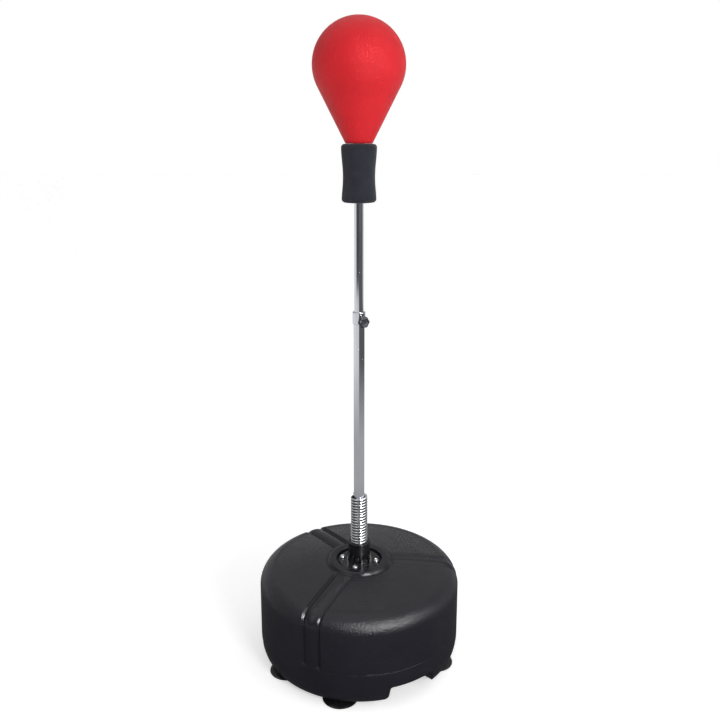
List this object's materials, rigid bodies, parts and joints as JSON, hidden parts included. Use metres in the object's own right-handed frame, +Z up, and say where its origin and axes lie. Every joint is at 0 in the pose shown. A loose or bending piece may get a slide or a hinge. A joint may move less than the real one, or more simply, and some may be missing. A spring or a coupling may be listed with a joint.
{
  "type": "speed bag platform",
  "caption": "Free-standing reflex ball stand: round ballast tank on suction cups, coil spring, telescopic chrome pole with clamp knob, foam sleeve and pear-shaped ball.",
  "frame": {"origin": "on the floor under the pole's axis, at the contact face of the suction cups", "axes": "+Z up along the pole, -Y to the front as pictured, +X to the right"},
  "size_m": [0.48, 0.48, 1.492],
  "materials": {
    "tank_plastic": "blow-moulded polyethylene, fine orange-peel grain, satin",
    "gloss_plastic": "smooth glossy moulding",
    "knob_plastic": "satin moulding",
    "nylon": "natural nylon",
    "tube_chrome": "bright chrome plate on drawn steel tube",
    "spring_chrome": "bright chrome plate on spring wire",
    "bolt_chrome": "bright zinc plate",
    "steel": "zinc plated steel",
    "brass": "turned",
    "rubber": "smooth black rubber",
    "foam": "closed-cell foam with a matte skin",
    "ball_leather": "coated leather, fine grain, satin",
    "bladder_rubber": "latex"
  },
  "bodies": {
    "base": {"base_tank": "tank_plastic", "socket_flange": "gloss_plastic", "anchor_bolt": "steel", "lower_spring_plug": "steel", "flange_bolt_1": "bolt_chrome", "flange_bolt_2": "bolt_chrome", "flange_bolt_3": "bolt_chrome", "flange_bolt_4": "bolt_chrome", "flange_washer_1": "steel", "flange_washer_2": "steel", "flange_washer_3": "steel", "flange_washer_4": "steel", "insert_nut_1": "brass", "insert_nut_2": "brass", "insert_nut_3": "brass", "insert_nut_4": "brass", "suction_cup_1": "rubber", "suction_cup_2": "rubber", "suction_cup_3": "rubber", "suction_cup_4": "rubber", "suction_cup_5": "rubber", "suction_cup_6": "rubber"},
    "filler_seal": {"filler_seal": "rubber"},
    "filler_cap": {"filler_cap": "gloss_plastic"},
    "spring": {"main_spring": "spring_chrome"},
    "lower_pole": {"upper_spring_plug": "steel", "lower_tube": "tube_chrome", "clamp_collar": "tube_chrome"},
    "clamp_pad": {"friction_pad": "nylon"},
    "clamp_knob": {"clamp_screw": "steel", "clamp_knob": "knob_plastic"},
    "guide": {"guide_bush": "nylon"},
    "upper_pole": {"upper_tube": "tube_chrome", "top_plug": "steel", "mount_stud": "steel", "jam_nut": "steel", "mount_washer": "steel", "ball_fitting": "nylon", "ball_cover": "ball_leather", "ball_bladder": "bladder_rubber", "air_valve": "rubber", "foam_sleeve": "foam"}
  },
  "joints": [
    {"name": "spring_bend_x", "type": "hinge", "parent": "base", "child": "spring", "pos_m": [0, 0, 0.3075], "axis": [1, 0, 0], "range_deg": [-35, 35], "stiffness_Nm_per_rad": 90, "deforming": ["main_spring"]},
    {"name": "spring_bend_y", "type": "hinge", "parent": "spring", "child": "lower_pole", "pos_m": [0, 0, 0.352], "axis": [0, 1, 0], "range_deg": [-35, 35], "stiffness_Nm_per_rad": 90, "deforming": ["main_spring"]},
    {"name": "height_slide", "type": "slide", "parent": "lower_pole", "child": "guide", "axis": [0, 0, 1], "range_m": [-0.13, 0.05]},
    {"name": "pole_turn", "type": "hinge", "parent": "guide", "child": "upper_pole", "pos_m": [0, 0, 1], "axis": [0, 0, 1], "continuous": true},
    {"name": "clamp_travel", "type": "slide", "parent": "lower_pole", "child": "clamp_pad", "axis": [0.4226, -0.9063, 0], "range_m": [0, 0.00375]},
    {"name": "clamp_knob_turn", "type": "hinge", "parent": "clamp_pad", "child": "clamp_knob", "pos_m": [0.01268, -0.02719, 0.832], "axis": [0.4226, -0.9063, 0], "range_deg": [0, 1080]},
    {"name": "filler_cap_lift", "type": "slide", "parent": "base", "child": "filler_seal", "axis": [0, 1, 0], "range_m": [0, 0.012]},
    {"name": "filler_cap_turn", "type": "hinge", "parent": "filler_seal", "child": "filler_cap", "pos_m": [0, 0.235, 0.158], "axis": [0, 1, 0], "range_deg": [0, 1080]}
  ],
  "couplings": [
    {"joint": "clamp_travel", "follows": "clamp_knob_turn", "m_per_rad": 0.00019894},
    {"joint": "filler_cap_lift", "follows": "filler_cap_turn", "m_per_rad": 0.00063662}
  ]
}
